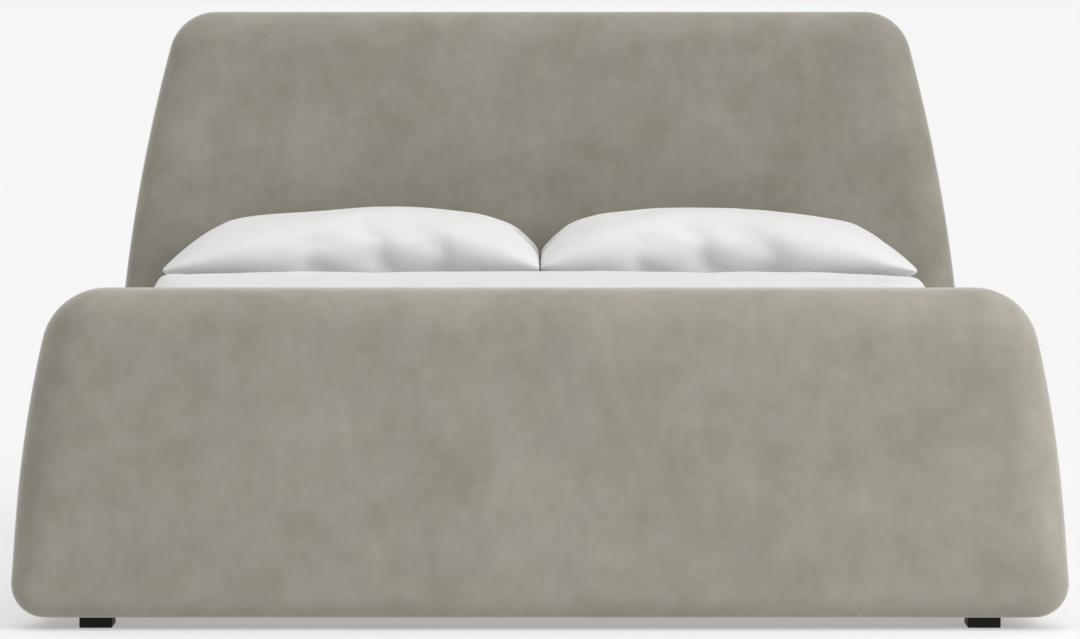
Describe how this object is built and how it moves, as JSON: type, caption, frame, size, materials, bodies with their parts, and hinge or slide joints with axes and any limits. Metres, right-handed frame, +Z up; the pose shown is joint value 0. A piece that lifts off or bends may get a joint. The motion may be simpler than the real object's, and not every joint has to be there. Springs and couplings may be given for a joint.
{
  "type": "upholstered sleigh bed",
  "caption": "Upholstered sleigh bed with a tall padded headboard, a low padded footboard, swept side rails, slats, mattress, duvet and pillows.",
  "frame": {"origin": "on the floor, under the centre of the whole bed", "axes": "+X across the bed to the sleeper's left hand when lying on the back, +Y towards the headboard, +Z up"},
  "size_m": [1.832, 2.4442, 1.089],
  "materials": {
    "velvet": "matte",
    "foam": "matte",
    "pine": "satin",
    "plywood": "satin",
    "dust_cloth": "matte",
    "black_plastic": "satin",
    "black_steel": "satin",
    "zinc": "satin",
    "webbing": "matte",
    "mattress_ticking": "matte",
    "white_cotton": "matte"
  },
  "bodies": {
    "bed_frame": {"beam_hanger_foot": "black_steel", "beam_hanger_head": "black_steel", "bracket_bolt_foot_left_lower": "zinc", "bracket_bolt_foot_left_upper": "zinc", "bracket_bolt_foot_right_lower": "zinc", "bracket_bolt_foot_right_upper": "zinc", "bracket_bolt_head_left_lower": "zinc", "bracket_bolt_head_left_upper": "zinc", "bracket_bolt_head_right_lower": "zinc", "bracket_bolt_head_right_upper": "zinc", "centre_beam": "pine", "centre_leg_foot": "black_steel", "centre_leg_head": "black_steel", "corner_bracket_foot_left": "black_steel", "corner_bracket_foot_right": "black_steel", "corner_bracket_head_left": "black_steel", "corner_bracket_head_right": "black_steel", "foot_foot_left": "black_plastic", "foot_foot_right": "black_plastic", "foot_head_left": "black_plastic", "foot_head_right": "black_plastic", "footboard_cover": "velvet", "footboard_dust_cloth": "dust_cloth", "footboard_foam": "foam", "footboard_frame": "pine", "headboard_cover": "velvet", "headboard_dust_cloth": "dust_cloth", "headboard_foam": "foam", "headboard_frame": "pine", "side_rail_left_board": "plywood", "side_rail_left_cover": "velvet", "side_rail_left_foam": "foam", "side_rail_right_board": "plywood", "side_rail_right_cover": "velvet", "side_rail_right_foam": "foam", "slat_01": "pine", "slat_02": "pine", "slat_03": "pine", "slat_04": "pine", "slat_05": "pine", "slat_06": "pine", "slat_07": "pine", "slat_08": "pine", "slat_09": "pine", "slat_10": "pine", "slat_11": "pine", "slat_12": "pine", "slat_ledger_left": "pine", "slat_ledger_right": "pine", "slat_strap_left": "webbing", "slat_strap_right": "webbing"},
    "mattress_and_duvet": {"mattress": "mattress_ticking", "duvet": "white_cotton"},
    "left_pillow": {"pillow_left": "white_cotton"},
    "right_pillow": {"pillow_right": "white_cotton"},
    "foot_leveller_pad": {"leveller_pad_foot": "black_plastic"},
    "foot_leveller_stem": {"leveller_stem_foot": "zinc"},
    "head_leveller_pad": {"leveller_pad_head": "black_plastic"},
    "head_leveller_stem": {"leveller_stem_head": "zinc"}
  },
  "joints": [
    {"name": "mattress_lift", "type": "slide", "parent": "bed_frame", "child": "mattress_and_duvet", "axis": [0, 0, 1], "range_m": [0, 0.4]},
    {"name": "left_pillow_lift", "type": "slide", "parent": "mattress_and_duvet", "child": "left_pillow", "axis": [0, 0, 1], "range_m": [0, 0.3]},
    {"name": "right_pillow_lift", "type": "slide", "parent": "mattress_and_duvet", "child": "right_pillow", "axis": [0, 0, 1], "range_m": [0, 0.3]},
    {"name": "foot_leveller_rise", "type": "slide", "parent": "bed_frame", "child": "foot_leveller_pad", "axis": [0, 0, 1], "range_m": [-0.00376, 0.00376]},
    {"name": "foot_leveller_turn", "type": "hinge", "parent": "foot_leveller_pad", "child": "foot_leveller_stem", "pos_m": [0, -0.53229, 0.03], "axis": [0, 0, 1], "range_deg": [-1080, 1080]},
    {"name": "head_leveller_rise", "type": "slide", "parent": "bed_frame", "child": "head_leveller_pad", "axis": [0, 0, 1], "range_m": [-0.00376, 0.00376]},
    {"name": "head_leveller_turn", "type": "hinge", "parent": "head_leveller_pad", "child": "head_leveller_stem", "pos_m": [0, 0.46771, 0.03], "axis": [0, 0, 1], "range_deg": [-1080, 1080]}
  ],
  "couplings": [
    {"joint": "foot_leveller_rise", "follows": "foot_leveller_turn", "m_per_rad": 0.00019894},
    {"joint": "head_leveller_rise", "follows": "head_leveller_turn", "m_per_rad": 0.00019894}
  ]
}
